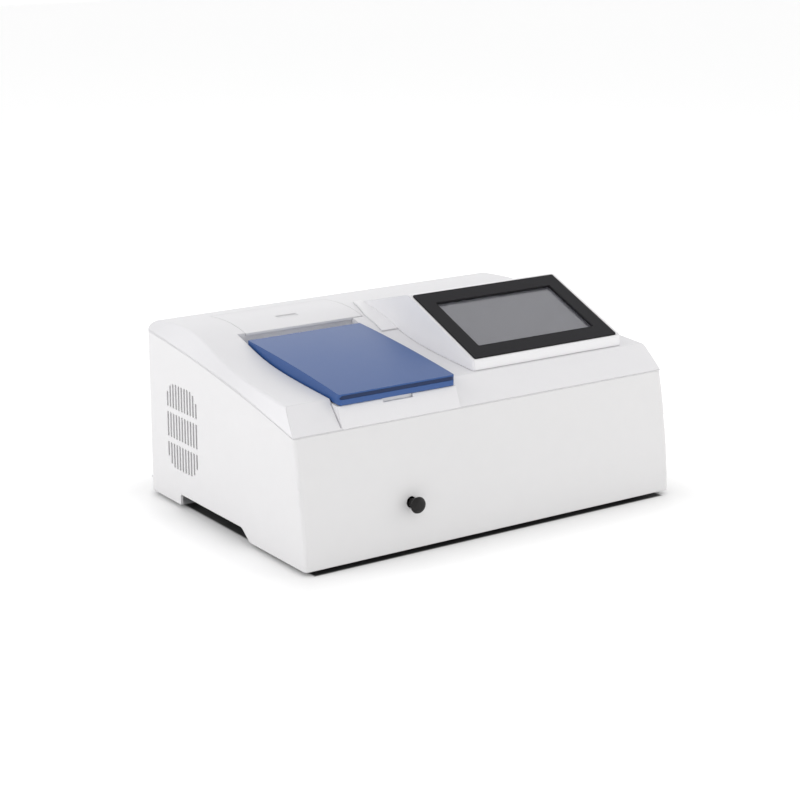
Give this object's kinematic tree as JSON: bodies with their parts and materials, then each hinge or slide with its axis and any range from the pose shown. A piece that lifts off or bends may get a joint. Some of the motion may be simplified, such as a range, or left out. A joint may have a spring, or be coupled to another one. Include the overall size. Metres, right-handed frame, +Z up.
{
  "type": "visible spectrophotometer",
  "caption": "Bench visible spectrophotometer with a tilted screen, a blue hinged sample lid over a pull-rod cell carriage, and a vented grey case on rubber feet.",
  "frame": {"origin": "middle of the footprint, knob included, at the height of the bench", "axes": "+X to the right seen from the front, +Y to the rear, +Z up"},
  "size_m": [0.47, 0.3394, 0.2225],
  "materials": {
    "case_white": "fine-textured off-white powder coat",
    "cover_grey": "smooth pale grey moulding",
    "lid_blue": "satin blue moulding",
    "frame_black": "matt black moulding",
    "screen_glass": "clear touch glass",
    "display_dark": "unlit display",
    "sheet_grey": "grey coated sheet",
    "rubber_black": "black rubber",
    "steel": "zinc-plated steel",
    "anodised_black": "black anodised aluminium",
    "cast_metal": "bare cast aluminium",
    "board_green": "green circuit board",
    "optic_mirror": "front-silvered glass",
    "optic_glass": "clear optical glass",
    "lamp_glass": "clear quartz bulb",
    "filter_glass": "coloured filter glass",
    "socket_white": "white ceramic and nylon",
    "nylon_black": "black nylon"
  },
  "bodies": {
    "instrument_case": {"lower_case": "case_white", "top_cover": "cover_grey", "rear_panel": "sheet_grey", "base_plate": "sheet_grey", "rubber_feet": "rubber_black", "feet_screws": "steel", "case_screws": "steel", "compartment_tub": "anodised_black", "compartment_gasket": "rubber_black", "beam_windows": "optic_glass", "carriage_rails": "steel", "rod_bushing": "nylon_black", "click_spring": "steel", "hinge_brackets": "cast_metal", "hinge_pins": "steel", "lid_bumpers": "rubber_black", "screen_housing": "cover_grey", "screen_frame": "frame_black", "screen_glass": "screen_glass", "display_module": "display_dark", "display_board": "board_green", "monochromator_housing": "cast_metal", "monochromator_cover": "cast_metal", "slit_plates": "anodised_black", "concave_mirrors": "optic_mirror", "mirror_mounts": "anodised_black", "drive_motor": "steel", "filter_motor": "steel", "lens_holder": "anodised_black", "condenser_lens": "optic_glass", "lamp_bracket": "sheet_grey", "lamp_socket": "socket_white", "tungsten_lamp": "lamp_glass", "detector_housing": "anodised_black", "photodiode": "steel", "detector_board": "board_green", "main_board": "board_green", "power_supply_board": "board_green", "power_inlet": "nylon_black", "power_switch": "nylon_black", "data_sockets": "steel", "interface_board": "board_green", "fan_frame": "nylon_black", "fan_guard": "steel"},
    "sample_lid": {"sample_lid": "lid_blue", "lid_liner": "anodised_black"},
    "service_cover": {"service_cover": "cover_grey"},
    "cell_carriage": {"cell_carriage": "anodised_black", "cell_springs": "steel", "pull_rod": "steel", "pull_knob": "frame_black"},
    "power_rocker": {"power_rocker": "nylon_black"},
    "fan_rotor": {"fan_rotor": "nylon_black"},
    "grating_table": {"grating_table": "cast_metal", "diffraction_grating": "optic_mirror"},
    "drive_plunger": {"drive_plunger": "steel"},
    "filter_wheel": {"filter_wheel": "anodised_black", "filter_shaft": "steel", "optical_filters": "filter_glass"},
    "fuse_drawer": {"fuse_drawer": "nylon_black"}
  },
  "joints": [
    {"name": "lid_hinge", "type": "hinge", "parent": "instrument_case", "child": "sample_lid", "pos_m": [-0.106, 0.05568, 0.18], "axis": [-1, 0, 0], "range_deg": [0, 88]},
    {"name": "rod_slide", "type": "slide", "parent": "instrument_case", "child": "cell_carriage", "axis": [0, -1, 0], "range_m": [0, 0.048]},
    {"name": "service_cover_lift", "type": "slide", "parent": "instrument_case", "child": "service_cover", "axis": [0, 0, 1], "range_m": [0, 0.03]},
    {"name": "rocker_tilt", "type": "hinge", "parent": "instrument_case", "child": "power_rocker", "pos_m": [0.112, 0.16368, 0.057], "axis": [0, 0, 1], "range_deg": [0, 12]},
    {"name": "fan_spin", "type": "hinge", "parent": "instrument_case", "child": "fan_rotor", "pos_m": [-0.095, 0.15868, 0.089], "axis": [0, 1, 0], "continuous": true},
    {"name": "grating_turn", "type": "hinge", "parent": "instrument_case", "child": "grating_table", "pos_m": [0.032, 0.02668, 0.034], "axis": [0, 0, 1], "range_deg": [-12, 12]},
    {"name": "plunger_slide", "type": "slide", "parent": "instrument_case", "child": "drive_plunger", "axis": [1, 0, 0], "range_m": [-0.0126, 0.0126]},
    {"name": "filter_wheel_spin", "type": "hinge", "parent": "instrument_case", "child": "filter_wheel", "pos_m": [-0.047, 0.08568, 0.089], "axis": [1, 0, 0], "continuous": true},
    {"name": "fuse_drawer_slide", "type": "slide", "parent": "instrument_case", "child": "fuse_drawer", "axis": [0, 1, 0], "range_m": [0, 0.018]}
  ],
  "couplings": [
    {"joint": "plunger_slide", "follows": "grating_turn", "m_per_rad": 0.056}
  ]
}
